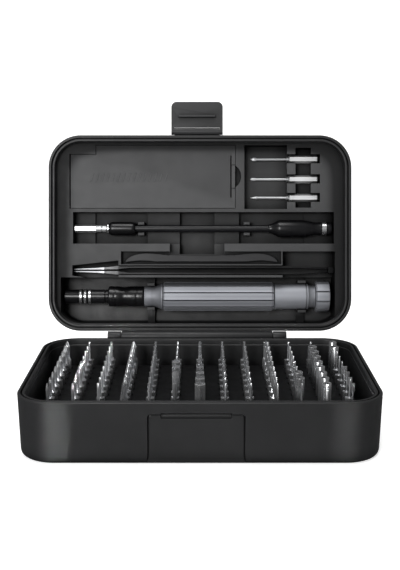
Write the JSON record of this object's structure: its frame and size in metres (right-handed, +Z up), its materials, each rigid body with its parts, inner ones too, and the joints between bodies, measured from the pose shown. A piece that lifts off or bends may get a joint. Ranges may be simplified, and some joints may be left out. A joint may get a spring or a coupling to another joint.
{
  "type": "precision screwdriver set",
  "caption": "Hinged plastic case with a rack of hexagonal bits in its base and a lid tray holding a screwdriver, extension bar, tweezers, pry tool, long bits and a covered compartment.",
  "frame": {"origin": "middle of the case base's underside", "axes": "+X to the right of someone facing the open case, +Y towards the hinge, +Z up"},
  "size_m": [0.175, 0.1646, 0.1629],
  "materials": {
    "case_plastic": "fine textured black-grey moulding",
    "tray_plastic": "matt moulding",
    "rack_plastic": "matt black moulding",
    "anodised_aluminium": "blue-grey anodised",
    "black_steel": "satin black",
    "bit_steel": "bright satin steel",
    "fitting_steel": "polished",
    "magnet": "dull grey"
  },
  "bodies": {
    "base": {"base_shell": "case_plastic", "hinge_pin": "fitting_steel", "bit_rack": "rack_plastic", "magnet_sheet": "magnet"},
    "lid": {"lid_shell": "case_plastic", "lid_tray": "tray_plastic", "latch_pin": "fitting_steel"},
    "latch": {"latch": "case_plastic"},
    "storage_cover": {"storage_cover": "tray_plastic"},
    "driver": {"bit_holder": "black_steel", "holder_ring_1": "fitting_steel", "holder_ring_2": "fitting_steel", "holder_ring_3": "fitting_steel", "holder_magnet": "magnet", "collar_spring": "fitting_steel", "driver_shaft": "fitting_steel", "driver_neck": "anodised_aluminium", "driver_grip": "anodised_aluminium", "driver_barrel": "anodised_aluminium", "cap_bearing": "fitting_steel"},
    "chuck_collar": {"chuck_collar": "black_steel"},
    "driver_end_cap": {"driver_end_cap": "anodised_aluminium"},
    "extension": {"extension_rod": "black_steel", "extension_socket": "black_steel", "socket_ring": "fitting_steel", "socket_magnet": "magnet"},
    "extension_sleeve": {"extension_sleeve": "black_steel", "sleeve_ring": "fitting_steel"},
    "tweezers": {"tweezers_heel": "black_steel"},
    "tweezers_upper_arm": {"tweezers_upper_arm": "black_steel"},
    "tweezers_lower_arm": {"tweezers_lower_arm": "black_steel"},
    "pry_tool": {"pry_tool": "black_steel"},
    "long_bit_1": {"long_bit_1": "bit_steel"},
    "long_bit_2": {"long_bit_2": "bit_steel"},
    "long_bit_3": {"long_bit_3": "bit_steel"},
    "bit_column_01": {"bit_column_01": "bit_steel"},
    "bit_column_02": {"bit_column_02": "bit_steel"},
    "bit_column_03": {"bit_column_03": "bit_steel"},
    "bit_column_04": {"bit_column_04": "bit_steel"},
    "bit_column_05": {"bit_column_05": "bit_steel"},
    "bit_column_06": {"bit_column_06": "bit_steel"},
    "bit_column_07": {"bit_column_07": "bit_steel"},
    "bit_column_08": {"bit_column_08": "bit_steel"},
    "bit_column_09": {"bit_column_09": "bit_steel"},
    "bit_column_10": {"bit_column_10": "bit_steel"},
    "bit_column_11": {"bit_column_11": "bit_steel"},
    "bit_column_12": {"bit_column_12": "bit_steel"},
    "bit_column_13": {"bit_column_13": "bit_steel"}
  },
  "joints": [
    {"name": "lid_hinge", "type": "hinge", "parent": "base", "child": "lid", "pos_m": [0, 0.05961, 0.0307], "axis": [-1, 0, 0], "range_deg": [-102.3, 0]},
    {"name": "latch_hinge", "type": "hinge", "parent": "lid", "child": "latch", "pos_m": [0, 0.08678, 0.14592], "axis": [-1, 0, 0], "range_deg": [-90, 0]},
    {"name": "storage_cover_hinge", "type": "hinge", "parent": "lid", "child": "storage_cover", "pos_m": [-0.074, 0.08491, 0.12043], "axis": [0, -0.213, -0.977], "range_deg": [0, 100]},
    {"name": "driver_lift_out", "type": "slide", "parent": "lid", "child": "driver", "axis": [0, -0.977, 0.213], "range_m": [0, 0.028]},
    {"name": "chuck_collar_slide", "type": "slide", "parent": "driver", "child": "chuck_collar", "axis": [-1, 0, 0], "range_m": [0, 0.003], "stiffness_N_per_m": 300},
    {"name": "end_cap_spin", "type": "hinge", "parent": "driver", "child": "driver_end_cap", "pos_m": [0.07, 0.07777, 0.05014], "axis": [1, 0, 0], "continuous": true},
    {"name": "extension_lift_out", "type": "slide", "parent": "lid", "child": "extension", "axis": [0, -0.977, 0.213], "range_m": [0, 0.028]},
    {"name": "extension_sleeve_spin", "type": "hinge", "parent": "extension", "child": "extension_sleeve", "pos_m": [-0.046, 0.08253, 0.08983], "axis": [1, 0, 0], "continuous": true},
    {"name": "tweezers_lift_out", "type": "slide", "parent": "lid", "child": "tweezers", "axis": [0, -0.977, 0.213], "range_m": [0, 0.028]},
    {"name": "tweezers_upper_squeeze", "type": "hinge", "parent": "tweezers", "child": "tweezers_upper_arm", "pos_m": [0.07465, 0.07752, 0.0659], "axis": [0, -0.977, 0.213], "range_deg": [0, 0.15], "stiffness_Nm_per_rad": 0.5},
    {"name": "tweezers_lower_squeeze", "type": "hinge", "parent": "tweezers", "child": "tweezers_lower_arm", "pos_m": [0.07465, 0.07752, 0.0659], "axis": [0, 0.977, -0.213], "range_deg": [0, 0.15], "stiffness_Nm_per_rad": 0.5},
    {"name": "pry_tool_lift_out", "type": "slide", "parent": "lid", "child": "pry_tool", "axis": [0, -0.977, 0.213], "range_m": [0, 0.025]},
    {"name": "long_bit_1_lift_out", "type": "slide", "parent": "lid", "child": "long_bit_1", "axis": [0, -0.977, 0.213], "range_m": [0, 0.025]},
    {"name": "long_bit_2_lift_out", "type": "slide", "parent": "lid", "child": "long_bit_2", "axis": [0, -0.977, 0.213], "range_m": [0, 0.025]},
    {"name": "long_bit_3_lift_out", "type": "slide", "parent": "lid", "child": "long_bit_3", "axis": [0, -0.977, 0.213], "range_m": [0, 0.025]},
    {"name": "bit_column_01_lift_out", "type": "slide", "parent": "base", "child": "bit_column_01", "axis": [0, 0, 1], "range_m": [0, 0.03]},
    {"name": "bit_column_02_lift_out", "type": "slide", "parent": "base", "child": "bit_column_02", "axis": [0, 0, 1], "range_m": [0, 0.03]},
    {"name": "bit_column_03_lift_out", "type": "slide", "parent": "base", "child": "bit_column_03", "axis": [0, 0, 1], "range_m": [0, 0.03]},
    {"name": "bit_column_04_lift_out", "type": "slide", "parent": "base", "child": "bit_column_04", "axis": [0, 0, 1], "range_m": [0, 0.03]},
    {"name": "bit_column_05_lift_out", "type": "slide", "parent": "base", "child": "bit_column_05", "axis": [0, 0, 1], "range_m": [0, 0.03]},
    {"name": "bit_column_06_lift_out", "type": "slide", "parent": "base", "child": "bit_column_06", "axis": [0, 0, 1], "range_m": [0, 0.03]},
    {"name": "bit_column_07_lift_out", "type": "slide", "parent": "base", "child": "bit_column_07", "axis": [0, 0, 1], "range_m": [0, 0.03]},
    {"name": "bit_column_08_lift_out", "type": "slide", "parent": "base", "child": "bit_column_08", "axis": [0, 0, 1], "range_m": [0, 0.03]},
    {"name": "bit_column_09_lift_out", "type": "slide", "parent": "base", "child": "bit_column_09", "axis": [0, 0, 1], "range_m": [0, 0.03]},
    {"name": "bit_column_10_lift_out", "type": "slide", "parent": "base", "child": "bit_column_10", "axis": [0, 0, 1], "range_m": [0, 0.03]},
    {"name": "bit_column_11_lift_out", "type": "slide", "parent": "base", "child": "bit_column_11", "axis": [0, 0, 1], "range_m": [0, 0.03]},
    {"name": "bit_column_12_lift_out", "type": "slide", "parent": "base", "child": "bit_column_12", "axis": [0, 0, 1], "range_m": [0, 0.03]},
    {"name": "bit_column_13_lift_out", "type": "slide", "parent": "base", "child": "bit_column_13", "axis": [0, 0, 1], "range_m": [0, 0.03]}
  ],
  "couplings": [
    {"joint": "tweezers_lower_squeeze", "follows": "tweezers_upper_squeeze", "ratio": 1}
  ]
}
